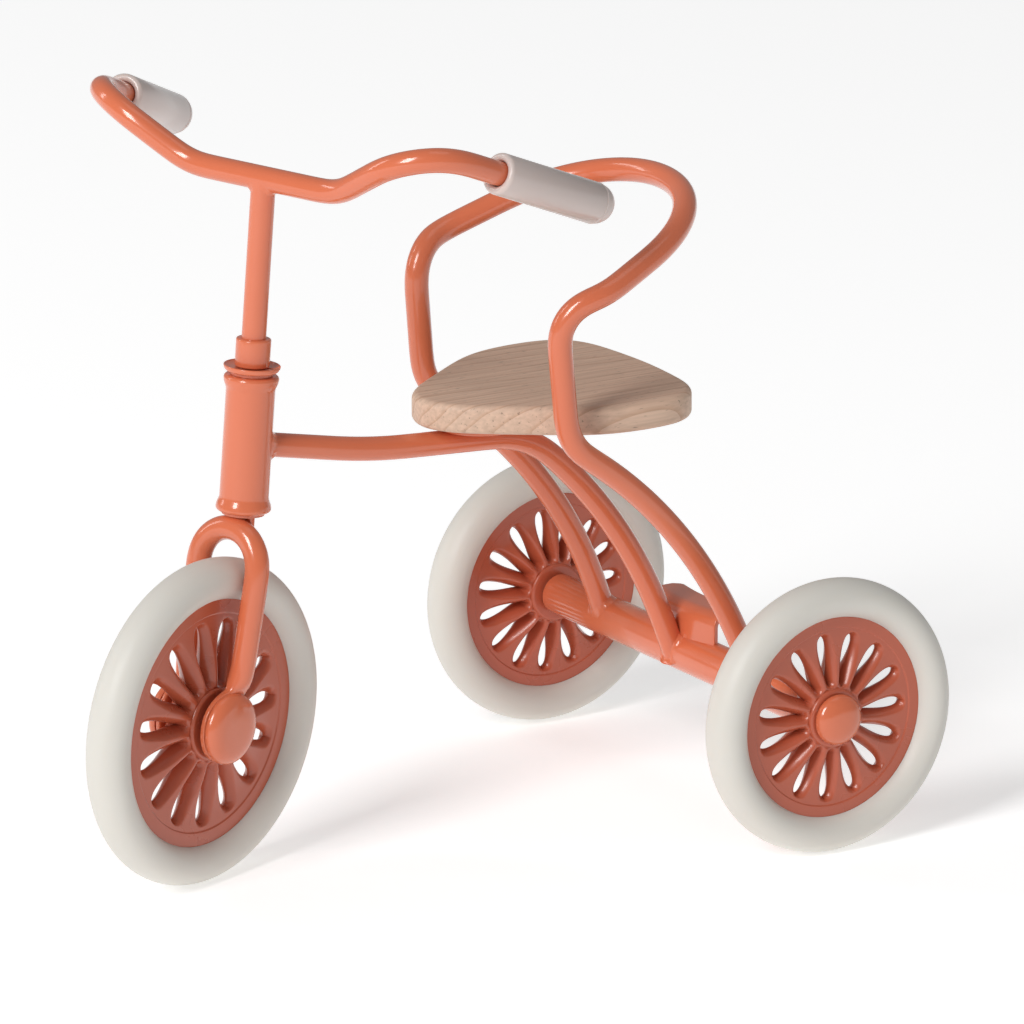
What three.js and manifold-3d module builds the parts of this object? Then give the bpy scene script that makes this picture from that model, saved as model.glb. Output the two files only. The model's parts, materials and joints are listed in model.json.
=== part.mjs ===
// Toy tricycle for a doll: a bent-rod frame with an arm and back hoop, a wooden seat board, a raked
// steering column with a bent handlebar, and three slotted wheels with solid round tyres.
// Millimetres, +Z up, +X forward, +Y to the rider's left. The model is laid out from a point on the
// ground below the rear axle, and the exported group moves the middle of its footprint to the origin.
import * as THREE from "three";
import { mergeVertices } from "three/addons/utils/BufferGeometryUtils.js";
import Module from "manifold-3d";

const wasm = await Module();
wasm.setup();

// ---- Driving dimensions ----
const wheelbase = 77.86; // rear axle to front axle, along X
const rearTyreRadius = 19;
const frontTyreRadius = 22.3;
const rearRimRadius = 14.1;
const frontRimRadius = 17.1;
const halfTrack = 35.3; // middle of a rear wheel, from the middle plane
const rodRadius = 1.65; // the bent rods of the frame, fork and handlebar
const rake = THREE.MathUtils.degToRad(4.5); // the steering axis leans back
const steer = THREE.MathUtils.degToRad(20); // the front wheel stands turned to the left
const forkOffset = 5.9; // front axle ahead of the steering axis
const weldGap = 0.05; // between pieces that are welded or pressed together
const pinRadius = 1; // both axles

// Tyres and discs
const tyreSectionRadius = 3.1;
const rimHalfWidth = 1.3;
const webHalfWidth = 0.7;
const slotCount = 15;
const slotInner = 0.36; // as shares of the rim radius
const slotOuter = 0.8;
const hubShare = 0.3;
const frontHubHalf = 2.4;
const rearHubOut = 2; // hub faces from the middle of a rear wheel
const rearHubIn = 2.9;
const bushRadius = 1.7;

// Frame: heights over the ground, lengths from the rear axle
const axleTubeRadius = 2.85;
const axleTubeHalf = 32;
const frontRailHeight = 58.6; // middle of the rod at the head tube
const railFrontX = 50.3; // the rod is straight under the seat, between two bends
const railFrontHeight = 55.1;
const railRearX = 25.8;
const railRearHeight = 53.7;
const strutHalfSpread = 19; // feet of the outer struts on the axle tube
const hoopHalfWidth = 18.3;
const hoopBackX = 4.2;
const hoopBackHeight = 86.7;

// Seat
const seatTop = 61.05;
const seatThickness = 4;
const seatHalfWidth = 17.1;
const seatNoseX = 42.4;
const seatRearX = 7.2;
const seatPlateThickness = 0.85;
const seatPlateRadius = 6.3;
const screwY = 4;
const screwX = 29;

// Steering column: heights along the steering axis, from the level of the front axle
const crownHeight = 26.1;
const forkHalfSpread = 5.2;
const forkLean = 2; // the crown stands ahead of the axis
const eyeInner = 3.3; // inner face of a fork eye, from the middle of the wheel
const eyeThickness = 1;
const eyeRadius = 4.3;
const headBottom = 28.05;
const headTop = 46.65;
const headRadius = 3.3;
const headBeadRadius = 3.7;
const headBeadHeight = 2;
const collarTop = 51.6;
const barHeight = 73.2;
const barTurn = THREE.MathUtils.degToRad(2.6); // the stem is clamped a little further round than the fork
const gripRadius = 2.83;
const gripLength = 22.2;

// ---- Materials ----
const paint = new THREE.MeshStandardMaterial({ color: 0xdd7a58, roughness: 0.32, metalness: 0 });
const wheelPaint = new THREE.MeshStandardMaterial({ color: 0xc06a4c, roughness: 0.42, metalness: 0 });
const tyreRubber = new THREE.MeshStandardMaterial({ color: 0xe2ddd2, roughness: 0.5, metalness: 0 });
const gripVinyl = new THREE.MeshStandardMaterial({ color: 0xd9cbc6, roughness: 0.4, metalness: 0 });
const beech = new THREE.MeshStandardMaterial({ color: 0xc9a98a, roughness: 0.65, metalness: 0 });
const nylon = new THREE.MeshStandardMaterial({ color: 0xe8e4dc, roughness: 0.5, metalness: 0 });
const steel = new THREE.MeshStandardMaterial({ color: 0x9a9a9c, roughness: 0.35, metalness: 0.9 });

// ---- Solids and booleans ----

// A closed geometry as a solid, with its shared corners merged.
function solid(geometry) {
  const bare = geometry.clone();
  bare.deleteAttribute("normal");
  bare.deleteAttribute("uv");
  const merged = mergeVertices(bare, 1e-4);
  return new wasm.Manifold(
    new wasm.Mesh({
      numProp: 3,
      vertProperties: merged.attributes.position.array,
      triVerts: new Uint32Array(merged.index.array),
    }),
  );
}

function geometryOf(made) {
  const mesh = made.getMesh();
  const geometry = new THREE.BufferGeometry();
  geometry.setAttribute("position", new THREE.BufferAttribute(mesh.vertProperties, 3));
  geometry.setIndex(new THREE.BufferAttribute(mesh.triVerts, 1));
  return geometry.toNonIndexed();
}

function cut(geometry, ...tools) {
  let made = solid(geometry);
  for (const tool of tools) made = made.subtract(solid(tool));
  return geometryOf(made);
}

function join(...geometries) {
  let made = solid(geometries[0]);
  for (const other of geometries.slice(1)) made = made.add(solid(other));
  return geometryOf(made);
}

// A full cylinder along an axis ("x", "y" or "z") between two places on it.
function rod(axis, radius, from, to, sides = 24) {
  const geometry = new THREE.CylinderGeometry(radius, radius, to - from, sides);
  geometry.translate(0, (from + to) / 2, 0);
  if (axis === "x") geometry.rotateZ(-Math.PI / 2);
  if (axis === "z") geometry.rotateX(Math.PI / 2);
  return geometry;
}

// A turned piece: profile points are [radius, height], anticlockwise, closed on itself or on the axis.
function turned(axis, profile, sides = 24) {
  const points = profile.map(([r, h]) => new THREE.Vector2(r, h));
  const geometry = new THREE.LatheGeometry(points, sides);
  if (axis === "z") geometry.rotateX(Math.PI / 2);
  return geometry;
}

// ---- Bent rods ----

// A path of straight runs joined by round bends. Corners are [x, y, z, bend radius].
class BentPath extends THREE.Curve {
  constructor(corners, bendStep = 0.42) {
    super();
    const spots = corners.map(([x, y, z]) => new THREE.Vector3(x, y, z));
    this.spots = [spots[0]];
    for (let i = 1; i < spots.length - 1; i++) {
      this.bend(spots[i - 1], spots[i], spots[i + 1], corners[i][3], bendStep);
    }
    this.spots.push(spots[spots.length - 1]);
  }

  // Points of the arc that rounds one corner.
  bend(before, corner, after, radius, bendStep) {
    const inward = before.clone().sub(corner).normalize();
    const outward = after.clone().sub(corner).normalize();
    const half = inward.angleTo(outward) / 2;
    const middle = inward.clone().add(outward).normalize();
    const centre = corner.clone().addScaledVector(middle, radius / Math.sin(half));
    const start = corner.clone().addScaledVector(inward, radius / Math.tan(half)).sub(centre);
    const turn = Math.PI - 2 * half;
    const normal = inward.clone().cross(start).normalize();
    const steps = Math.max(2, Math.ceil(turn / bendStep));
    for (let k = 0; k <= steps; k++) {
      const arm = start.clone().applyAxisAngle(normal, (turn * k) / steps);
      this.spots.push(arm.add(centre));
    }
  }

  getPoint(t, target = new THREE.Vector3()) {
    const place = Math.min(t, 1 - 1e-9) * (this.spots.length - 1);
    const i = Math.floor(place);
    return target.lerpVectors(this.spots[i], this.spots[i + 1], place - i);
  }

  // One step of the sweep for each point of the path, so that the straight runs cost nothing.
  getPointAt(u, target) {
    return this.getPoint(u, target);
  }

  getTangent(t, target = new THREE.Vector3()) {
    const i = Math.round(t * (this.spots.length - 1));
    const before = this.spots[Math.max(i - 1, 0)];
    const after = this.spots[Math.min(i + 1, this.spots.length - 1)];
    const here = this.spots[i];
    const arrive = here.clone().sub(before).normalize();
    const leave = after.clone().sub(here).normalize();
    return target.copy(arrive).add(leave).normalize();
  }

  getTangentAt(u, target) {
    return this.getTangent(u, target);
  }
}

function bentRod(corners, radius = rodRadius, sides = 8, bendStep = 0.42) {
  const path = new BentPath(corners, bendStep);
  const section = new THREE.Shape();
  for (let k = 0; k < sides; k++) {
    const angle = (2 * Math.PI * (k + 0.5)) / sides;
    const x = radius * Math.cos(angle);
    const y = radius * Math.sin(angle);
    if (k === 0) section.moveTo(x, y);
    else section.lineTo(x, y);
  }
  section.closePath();
  return new THREE.ExtrudeGeometry(section, {
    extrudePath: path,
    steps: path.spots.length - 1,
    bevelEnabled: false,
  });
}

// The same corners on the other side of the middle plane, in reverse order.
const mirrored = (corners) => corners.map(([x, y, z, r]) => [x, -y, z, r]).reverse();

// ---- Frame ----

// The steering frame stands on the steering axis, level with the front axle.
const steerLean = Math.asin(Math.sin(steer) * Math.sin(rake));
const frontAxleHeight = frontTyreRadius * Math.cos(steerLean);
const steerBase = new THREE.Vector3(
  wheelbase - forkOffset * Math.cos(steer) * Math.cos(rake),
  0,
  frontAxleHeight - forkOffset * Math.cos(steer) * Math.sin(rake),
);

function raked(geometry) {
  return geometry.rotateY(-rake).translate(steerBase.x, steerBase.y, steerBase.z);
}

const seatBottom = seatTop - seatThickness;
const plateBottom = seatBottom - weldGap - seatPlateThickness;
const axleCut = rod("y", axleTubeRadius + weldGap, -50, 50, 32).translate(0, 0, rearTyreRadius);

function headTube() {
  const bead = headBeadHeight;
  const round = 0.4;
  return raked(
    turned("z", [
      [2.2, headBottom],
      [headBeadRadius - round, headBottom],
      [headBeadRadius, headBottom + round],
      [headBeadRadius, headBottom + bead - round],
      [headRadius, headBottom + bead],
      [headRadius, headTop - bead],
      [headBeadRadius, headTop - bead + round],
      [headBeadRadius, headTop - round],
      [headBeadRadius - round, headTop],
      [2.2, headTop],
      [2.2, headBottom],
    ]),
  );
}

// A flanged bush, pressed into one end of the head tube; side is 1 at the top and -1 at the bottom.
function headBush(side) {
  const face = side > 0 ? headTop + weldGap : headBottom - weldGap;
  const flange = 0.35 * side;
  const profile = [
    [1.72, face - 4 * side],
    [2.15, face - 4 * side],
    [2.15, face],
    [2.9, face],
    [2.9, face + flange],
    [1.72, face + flange],
    [1.72, face - 4 * side],
  ];
  return raked(turned("z", side > 0 ? profile : profile.reverse()));
}

// Front tube, seat rail and middle strut are one rod, from the head tube to the axle tube.
function mainTube() {
  const corners = [
    [67.6, 0, frontRailHeight],
    [railFrontX, 0, railFrontHeight, 80],
    [railRearX, 0, railRearHeight, 15.6],
    [10.1, 0, 40.2, 70],
    [1.2, 0, rearTyreRadius - 1],
  ];
  const headCut = raked(rod("z", headRadius + weldGap, headBottom - 5, headTop + 5));
  return cut(bentRod(corners, rodRadius, 8, 0.22), headCut, axleCut);
}

// Both outer struts, the arm posts and the back rest are one rod.
function armHoop() {
  const left = [
    [0.2, strutHalfSpread, rearTyreRadius - 1],
    [9.7, hoopHalfWidth - 0.5, 42.5, 65],
    [30.6, hoopHalfWidth, 57.2, 6.9],
    [32.3, hoopHalfWidth - 0.3, 76.2, 5.8],
    [27, hoopHalfWidth + 2.9, 77.3, 17.3],
    [hoopBackX, hoopHalfWidth - 3, hoopBackHeight, 18.8],
  ];
  return cut(bentRod([...left, ...mirrored(left)], rodRadius, 8, 0.4), axleCut);
}

function axleTube() {
  const bore = pinRadius + 0.1;
  const profile = [
    [bore, -axleTubeHalf],
    [axleTubeRadius, -axleTubeHalf],
    [axleTubeRadius, axleTubeHalf],
    [bore, axleTubeHalf],
    [bore, -axleTubeHalf],
  ];
  return turned("y", profile).translate(0, 0, rearTyreRadius);
}

// A pressed step: a rounded tread behind the middle strut, with its front skirt down on the axle tube.
function rearStep() {
  const treadTop = rearTyreRadius + 6.3;
  const half = 8;
  const outline = (inset, depth) => {
    const shape = new THREE.Shape();
    shape.moveTo(0.6, half - inset);
    shape.quadraticCurveTo(-0.8, 0, 0.6, -half + inset);
    shape.absellipse(-depth / 2 + 0.2, -half + 2 + inset, depth / 2, 2, 0, Math.PI, true);
    shape.absellipse(-depth / 2 + 0.2, half - 2 - inset, depth / 2, 2, Math.PI, 0, true);
    shape.closePath();
    return shape;
  };
  const options = { bevelEnabled: false, curveSegments: 6 };
  const block = new THREE.ExtrudeGeometry(outline(0, 3.8), { ...options, depth: 4.5 });
  const hollow = new THREE.BoxGeometry(6, 2 * half - 2.4, 4);
  block.translate(0, 0, treadTop - 4.5);
  hollow.translate(-4.1, 0, treadTop - 2.7);
  return cut(block, hollow, axleCut);
}

// ---- Seat ----

// The board's outline is a triangle with soft corners: nose, shoulders and rear corners.
function seatOutline(inset = 0) {
  const corners = [
    [seatNoseX + 4.7 - inset * 1.6, 0, 6.8],
    [23.8 - inset * 0.3, seatHalfWidth - inset, 12],
    [seatRearX + inset, seatHalfWidth - inset, 6.5],
    [seatRearX + inset, -seatHalfWidth + inset, 6.5],
    [23.8 - inset * 0.3, -seatHalfWidth + inset, 12],
  ];
  const shape = new THREE.Shape();
  const count = corners.length;
  for (let i = 0; i < count; i++) {
    const [before, here, after] = [-1, 0, 1].map((k) => corners[(i + k + count) % count]);
    const corner = new THREE.Vector2(here[0], here[1]);
    const inward = new THREE.Vector2(before[0], before[1]).sub(corner).normalize();
    const outward = new THREE.Vector2(after[0], after[1]).sub(corner).normalize();
    const half = Math.acos(inward.dot(outward)) / 2;
    const reach = here[2] / Math.tan(half);
    const start = corner.clone().addScaledVector(inward, reach);
    const middle = inward.clone().add(outward).normalize();
    const centre = corner.clone().addScaledVector(middle, here[2] / Math.sin(half));
    const turn = Math.PI - 2 * half;
    const from = Math.atan2(start.y - centre.y, start.x - centre.x);
    const steps = Math.max(3, Math.ceil(turn / 0.3));
    for (let k = 0; k <= steps; k++) {
      const angle = from + (turn * k) / steps;
      const x = centre.x + here[2] * Math.cos(angle);
      const y = centre.y + here[2] * Math.sin(angle);
      if (i === 0 && k === 0) shape.moveTo(x, y);
      else shape.lineTo(x, y);
    }
  }
  shape.closePath();
  return shape;
}

function seatBoard() {
  const bevel = 0.7;
  const board = new THREE.ExtrudeGeometry(seatOutline(bevel), {
    depth: seatThickness - 2 * bevel,
    bevelThickness: bevel,
    bevelSize: bevel,
    bevelSegments: 1,
  });
  board.translate(0, 0, seatBottom + bevel);
  const holes = [1, -1].map((side) => {
    const hole = rod("z", 0.66, seatBottom - 1, seatBottom + 2.6, 12);
    return hole.translate(screwX, side * screwY, 0);
  });
  return cut(board, ...holes);
}

function seatPlate() {
  const shape = new THREE.Shape();
  shape.absarc(33, 0, seatPlateRadius, -Math.PI / 2, Math.PI / 2, false);
  shape.absarc(27, 0, seatPlateRadius, Math.PI / 2, (3 * Math.PI) / 2, false);
  for (const side of [1, -1]) {
    const hole = new THREE.Path();
    hole.absarc(screwX, side * screwY, 0.75, 0, 2 * Math.PI, true);
    shape.holes.push(hole);
  }
  const plate = new THREE.ExtrudeGeometry(shape, {
    depth: seatPlateThickness,
    bevelEnabled: false,
    curveSegments: 8,
  });
  return plate.translate(0, 0, plateBottom);
}

function seatScrew(side) {
  const head = plateBottom - weldGap;
  const screw = turned(
    "z",
    [
      [0, head - 0.8],
      [0.8, head - 0.7],
      [1.2, head - 0.3],
      [1.2, head],
      [0.6, head],
      [0.6, seatBottom + 2.1],
      [0, seatBottom + 2.5],
    ],
    12,
  );
  return screw.translate(screwX, side * screwY, 0);
}

// ---- Wheels, about the Y axis, with the outer face towards +Y ----

function disc(rimRadius, hubOut, hubIn) {
  const hub = rimRadius * hubShare;
  const bore = bushRadius + 0.05;
  const body = turned(
    "y",
    [
      [bore, -hubIn],
      [hub - 0.5, -hubIn],
      [hub, -hubIn + 0.5],
      [hub + 0.8, -webHalfWidth],
      [rimRadius * slotOuter, -webHalfWidth],
      [rimRadius * 0.88, -rimHalfWidth],
      [rimRadius, -rimHalfWidth],
      [rimRadius, rimHalfWidth],
      [rimRadius * 0.88, rimHalfWidth],
      [rimRadius * slotOuter, webHalfWidth],
      [hub + 0.8, webHalfWidth],
      [hub, hubOut - 0.5],
      [hub - 0.5, hubOut],
      [bore, hubOut],
      [bore, -hubIn],
    ],
    45,
  );
  const tools = [];
  for (let k = 0; k < slotCount; k++) {
    tools.push(slot(rimRadius).rotateY((2 * Math.PI * k) / slotCount));
  }
  return cut(body, ...tools);
}

// One teardrop slot along +Z: a point at the hub and a round outer end.
function slot(rimRadius) {
  const inner = rimRadius * slotInner;
  const outer = rimRadius * slotOuter;
  const width = (Math.PI * outer) / slotCount / 2.3;
  const shape = new THREE.Shape();
  shape.moveTo(0, inner);
  shape.lineTo(width * 0.8, outer - width * 1.6);
  shape.lineTo(width, outer - width);
  shape.lineTo(width * 0.6, outer - width * 0.2);
  shape.lineTo(0, outer);
  shape.lineTo(-width * 0.6, outer - width * 0.2);
  shape.lineTo(-width, outer - width);
  shape.lineTo(-width * 0.8, outer - width * 1.6);
  shape.closePath();
  const tool = new THREE.ExtrudeGeometry(shape, { depth: 6, bevelEnabled: false });
  return tool.translate(0, 0, -3).rotateX(Math.PI / 2);
}

// A solid tyre of round section, seated on the edge of the disc.
function tyre(outerRadius, rimRadius) {
  const seat = rimRadius + weldGap;
  const centre = outerRadius - tyreSectionRadius;
  const opening = Math.acos((seat - centre) / tyreSectionRadius);
  const profile = [];
  const steps = 10;
  for (let k = 0; k <= steps; k++) {
    const angle = -opening + (2 * opening * k) / steps;
    const r = k === 0 || k === steps ? seat : centre + tyreSectionRadius * Math.cos(angle);
    profile.push([r, tyreSectionRadius * Math.sin(angle)]);
  }
  profile.push([...profile[0]]);
  return turned("y", profile, 45);
}

function wheelBush(hubOut, hubIn) {
  const bore = pinRadius + 0.07;
  return turned("y", [
    [bore, -hubIn],
    [bushRadius, -hubIn],
    [bushRadius, hubOut],
    [bore, hubOut],
    [bore, -hubIn],
  ]);
}

// A domed cap, pressed on the end of a pin; its flat face is at height 0.
function domedCap(radius, height, boreDepth) {
  const bore = pinRadius + weldGap;
  return turned("y", [
    [bore, 0],
    [radius * 0.97, 0],
    [radius, height * 0.25],
    [radius * 0.95, height * 0.55],
    [radius * 0.72, height * 0.85],
    [radius * 0.4, height * 0.97],
    [0, height],
    [0, boreDepth],
    [bore, boreDepth],
    [bore, 0],
  ]);
}

function washer(radius, from, to) {
  const bore = pinRadius + 0.07;
  return turned("y", [
    [bore, from],
    [radius, from],
    [radius, to],
    [bore, to],
    [bore, from],
  ]);
}

// ---- Steering assembly, in the steering frame: Z along the axis, X towards the front ----

// The fork is one rod bent to a U, with a flat eye joined to each end.
function fork() {
  const left = [
    [3.1, 4.7, 6.3],
    [forkLean + 0.2, forkHalfSpread, 13, 14],
    [forkLean, forkHalfSpread, crownHeight, forkHalfSpread - 0.01],
  ];
  const u = bentRod([...left, ...mirrored(left)], rodRadius, 8, 0.4);
  const eyes = [1, -1].map((side) => {
    const shape = new THREE.Shape();
    shape.absarc(forkOffset, 0, eyeRadius, Math.PI * 0.97, Math.PI * 2.27, false);
    shape.lineTo(4.8, 8.3);
    shape.lineTo(1.5, 7.8);
    shape.closePath();
    const hole = new THREE.Path();
    hole.absarc(forkOffset, 0, pinRadius + 0.05, 0, 2 * Math.PI, true);
    shape.holes.push(hole);
    const eye = new THREE.ExtrudeGeometry(shape, {
      depth: eyeThickness,
      bevelEnabled: false,
      curveSegments: 8,
    });
    eye.rotateX(Math.PI / 2); // the outline stands up, and the thickness runs towards -Y
    return eye.translate(0, side > 0 ? eyeInner + eyeThickness : -eyeInner, 0);
  });
  return join(u, ...eyes);
}

function steerer() {
  const crown = rod("y", rodRadius + 0.25, -4, 4).translate(forkLean, 0, crownHeight);
  return cut(rod("z", rodRadius, crownHeight - 1, 49.5, 16), crown);
}

function stemTube() {
  const bar = rod("y", rodRadius + weldGap, -6, 6).translate(0, 0, barHeight);
  return cut(rod("z", rodRadius, 49.6, barHeight - 0.7, 16), bar);
}

// The split washer that rests on the upper bush, with a notch at the left rear.
function stopWasher() {
  const base = headTop + 0.5;
  const ring = turned("z", [
    [1.75, base],
    [3.4, base],
    [3.8, base + 0.35],
    [3.8, base + 0.6],
    [3.3, base + 0.6],
    [1.75, base + 0.5],
    [1.75, base],
  ]);
  const notch = new THREE.BoxGeometry(3, 0.5, 2).translate(3.2, 0, base).rotateZ(2.1);
  return cut(ring, notch);
}

function stemCollar() {
  const base = headTop + 1.15;
  return turned("z", [
    [1.72, base],
    [2.35, base],
    [2.35, collarTop - 0.3],
    [2.1, collarTop],
    [1.72, collarTop],
    [1.72, base],
  ]);
}

// Left end of the handlebar and the direction that its grip points in.
const gripStart = new THREE.Vector3(-9.2, 30.8, 78.1);
const gripWay = new THREE.Vector3(-0.926, 0.237, -0.293).normalize();

function handlebar() {
  const end = gripStart.clone().addScaledVector(gripWay, gripLength - 5);
  const top = gripStart.clone().addScaledVector(gripWay, -7.8);
  const right = [
    [end.x, -end.y, end.z],
    [top.x, -top.y, top.z, 8.7],
    [3.6, -24.3, 80.5, 8.5],
    [0, -12.1, barHeight, 7.6],
  ];
  const left = mirrored(right);
  return bentRod([...right, ...left], rodRadius, 8, 0.4);
}

// A soft sleeve with a closed, round end.
function grip(side) {
  const bore = rodRadius + weldGap;
  const shoulder = gripLength - gripRadius;
  const made = turned("z", [
    [bore, 0],
    [gripRadius, 0],
    [gripRadius, shoulder],
    [gripRadius * 0.87, shoulder + 1.4],
    [gripRadius * 0.5, shoulder + 2.45],
    [0, gripLength],
    [0, gripLength - 4.5],
    [bore, gripLength - 4.5],
    [bore, 0],
  ]);
  const way = new THREE.Vector3(gripWay.x, side * gripWay.y, gripWay.z);
  const turn = new THREE.Quaternion().setFromUnitVectors(new THREE.Vector3(0, 0, 1), way);
  made.applyQuaternion(turn);
  return made.translate(gripStart.x, side * gripStart.y, gripStart.z);
}

// ---- Assembly ----

function add(parent, name, geometry, material) {
  const mesh = new THREE.Mesh(geometry, material);
  mesh.name = name;
  parent.add(mesh);
  return mesh;
}

// A wheel with its disc, tyre and hub bush; facing is 1 where the outer face looks to +Y.
function addWheel(parent, name, place, facing, sizes) {
  const wheel = new THREE.Group();
  wheel.position.copy(place);
  if (facing < 0) wheel.rotation.z = Math.PI;
  add(wheel, name + "_disc", disc(sizes.rim, sizes.hubOut, sizes.hubIn), wheelPaint);
  add(wheel, name + "_tyre", tyre(sizes.tyre, sizes.rim), tyreRubber);
  add(wheel, name + "_hub_bush", wheelBush(sizes.hubOut, sizes.hubIn), nylon);
  parent.add(wheel);
}

const tricycle = new THREE.Group();

add(tricycle, "head_tube", headTube(), paint);
add(tricycle, "upper_head_bush", headBush(1), nylon);
add(tricycle, "lower_head_bush", headBush(-1), nylon);
add(tricycle, "main_tube", mainTube(), paint);
add(tricycle, "arm_hoop", armHoop(), paint);
add(tricycle, "rear_axle_tube", axleTube(), paint);
add(tricycle, "rear_step", rearStep(), paint);
add(tricycle, "seat_plate", seatPlate(), paint);
add(tricycle, "seat_board", seatBoard(), beech);
add(tricycle, "seat_screw_left", seatScrew(1), steel);
add(tricycle, "seat_screw_right", seatScrew(-1), steel);

const rearPinHalf = halfTrack + rearHubOut + 1.2;
const rearPin = rod("y", pinRadius, -rearPinHalf, rearPinHalf, 16);
add(tricycle, "rear_axle_pin", rearPin.translate(0, 0, rearTyreRadius), steel);

const rearSizes = { rim: rearRimRadius, tyre: rearTyreRadius, hubOut: rearHubOut, hubIn: rearHubIn };
for (const [side, facing] of [
  ["left", 1],
  ["right", -1],
]) {
  const place = new THREE.Vector3(0, facing * halfTrack, rearTyreRadius);
  addWheel(tricycle, "rear_" + side, place, facing, rearSizes);
  const spacer = washer(2.4, axleTubeHalf + 0.04, halfTrack - rearHubIn - 0.06);
  const cap = domedCap(3.5, 2.1, 1.4).translate(0, halfTrack + rearHubOut + 0.1, 0);
  const turn = facing > 0 ? 0 : Math.PI;
  for (const [name, piece, material] of [
    ["_washer", spacer, steel],
    ["_cap", cap, paint],
  ]) {
    piece.rotateZ(turn).translate(0, 0, rearTyreRadius);
    add(tricycle, "rear_" + side + name, piece, material);
  }
}

// The column is tilted back by the rake, and what turns in it is turned by the steering angle.
const column = new THREE.Group();
column.position.copy(steerBase);
column.rotation.y = -rake;
tricycle.add(column);
const turning = new THREE.Group();
turning.rotation.z = steer;
column.add(turning);

const bar = new THREE.Group();
bar.rotation.z = barTurn;
turning.add(bar);

add(turning, "steerer", steerer(), paint);
add(bar, "stem_tube", stemTube(), paint);
add(turning, "stem_collar", stemCollar(), paint);
add(turning, "stop_washer", stopWasher(), paint);
add(bar, "handlebar", handlebar(), paint);
add(bar, "left_grip", grip(1), gripVinyl);
add(bar, "right_grip", grip(-1), gripVinyl);
add(turning, "fork", fork(), paint);

const frontAxle = new THREE.Vector3(forkOffset, 0, 0);
const frontSizes = { rim: frontRimRadius, tyre: frontTyreRadius, hubOut: frontHubHalf, hubIn: frontHubHalf };
addWheel(turning, "front", frontAxle, 1, frontSizes);
const capFace = eyeInner + eyeThickness + weldGap;
add(turning, "front_axle_pin", rod("y", pinRadius, -capFace - 1, capFace + 1, 16).translate(forkOffset, 0, 0), steel);
for (const [side, facing] of [
  ["left", 1],
  ["right", -1],
]) {
  const spacer = washer(2.2, frontHubHalf + 0.1, eyeInner - 0.05);
  const cap = domedCap(4.9, 1.9, 1.2).translate(0, capFace, 0);
  for (const [name, piece, material] of [
    ["_spacer", spacer, steel],
    ["_cap", cap, paint],
  ]) {
    piece.rotateZ(facing > 0 ? 0 : Math.PI).translate(forkOffset, 0, 0);
    add(turning, "front_" + side + name, piece, material);
  }
}

// The middle of the footprint goes to the origin.
tricycle.updateMatrixWorld(true);
const bounds = new THREE.Box3().setFromObject(tricycle, true);
const footprint = bounds.getCenter(new THREE.Vector3());
tricycle.position.set(-footprint.x, -footprint.y, -bounds.min.z);

export default tricycle;
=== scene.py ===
# A doll's tricycle: coral painted steel rods, slotted wheels with pale solid tyres, soft grips and a
# beech seat board. Lengths are in millimetres until a mesh is laid. The frame is the part's own:
# +X forward, +Y to the rider's left, +Z up, with the ground at zero.
import json
import math

import bpy
import numpy as np
from mathutils import Matrix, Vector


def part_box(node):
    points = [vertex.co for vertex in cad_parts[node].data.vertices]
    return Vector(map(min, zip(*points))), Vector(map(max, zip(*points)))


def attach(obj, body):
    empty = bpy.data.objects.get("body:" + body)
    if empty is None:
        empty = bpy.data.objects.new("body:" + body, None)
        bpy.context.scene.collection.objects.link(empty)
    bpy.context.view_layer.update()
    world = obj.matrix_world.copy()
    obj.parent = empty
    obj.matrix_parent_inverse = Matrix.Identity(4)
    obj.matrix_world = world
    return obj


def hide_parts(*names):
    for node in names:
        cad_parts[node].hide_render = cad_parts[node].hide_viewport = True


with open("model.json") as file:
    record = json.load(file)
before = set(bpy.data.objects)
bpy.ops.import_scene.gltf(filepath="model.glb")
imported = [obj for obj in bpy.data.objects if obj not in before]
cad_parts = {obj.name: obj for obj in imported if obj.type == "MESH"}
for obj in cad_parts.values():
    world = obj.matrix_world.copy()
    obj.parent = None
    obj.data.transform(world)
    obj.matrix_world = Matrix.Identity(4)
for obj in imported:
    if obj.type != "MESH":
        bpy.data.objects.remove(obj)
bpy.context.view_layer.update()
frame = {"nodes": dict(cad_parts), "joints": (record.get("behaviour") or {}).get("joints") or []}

# ---- Where the axles and the steering column lie ----
# The three wheels turn on their pins and the fork turns in the head tube, so the joints of the frame
# say where every hub and the column are. Frame pieces are placed from the ground below the rear axle.
MM = 0.001
joints = {j["name"]: j for j in frame["joints"]}


def joint_point(name):
    """A joint's place in millimetres."""
    return np.array(joints[name]["pos_m"]) / MM


def unit(vector):
    """A vector, or each of several, divided by its length."""
    return vector / np.linalg.norm(vector, axis=-1, keepdims=True)


rear_left_hub = joint_point("rear_left_wheel_spin")
rear_right_hub = joint_point("rear_right_wheel_spin")
front_hub = joint_point("front_wheel_spin")
axle_middle = (rear_left_hub + rear_right_hub) / 2
ground = axle_middle * [1, 1, 0]
axle_height = axle_middle[2]

column_base = joint_point("steering")
column_up = unit(np.array(joints["steering"]["axis"]))
fork_left = unit(np.array(joints["front_wheel_spin"]["axis"]))


# ---- Camera, floor and studio light ----
# A long lens from the front left, a little above the bars. A pale room, a tall soft box in front, a
# strip at the camera's left and a weak box above give the bent rods long highlights over lit paper.
SENSOR = 36
camera_turn = math.radians(57.774)
camera_lift = math.radians(16.238)
camera_distance = 1411.457
camera_lens = 367.38
camera_aim = ground + [27.914, 0, 43.024]

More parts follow.
